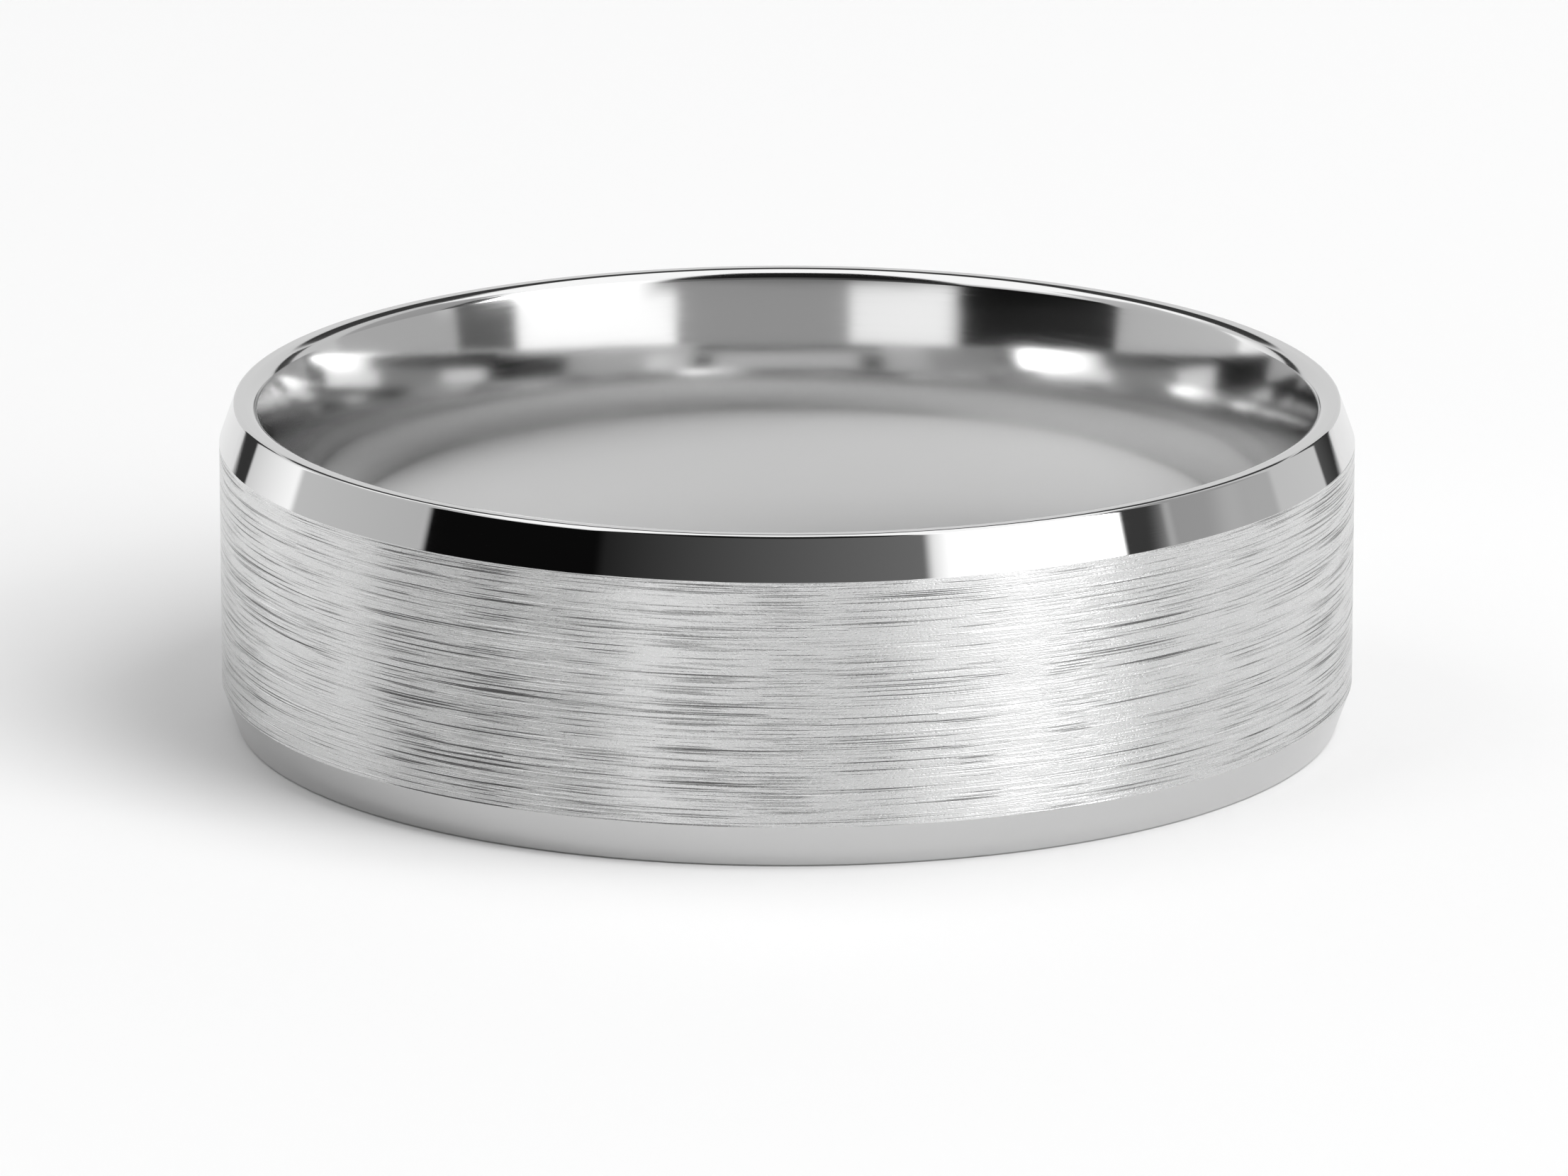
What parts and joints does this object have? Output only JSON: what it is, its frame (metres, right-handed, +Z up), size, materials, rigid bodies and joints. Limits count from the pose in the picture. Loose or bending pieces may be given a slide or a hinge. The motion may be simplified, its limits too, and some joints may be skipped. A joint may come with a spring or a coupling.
{
  "type": "wedding band",
  "caption": "Comfort-fit wedding band: brushed flat outer face between polished bevelled edges, with a polished, gently domed finger bore.",
  "frame": {"origin": "on the finger axis, at the plane of the lower rim that the band stands on", "axes": "+Z up along the finger axis, from the lower rim to the upper rim; the band is the same all round, so X and Y are any two directions across it"},
  "size_m": [0.0224, 0.0224, 0.0065],
  "materials": {
    "white_gold": "brushed around the outer face, mirror polished on the bevels, rims and bore"
  },
  "bodies": {
    "root": {"band": "white_gold"}
  },
  "joints": []
}
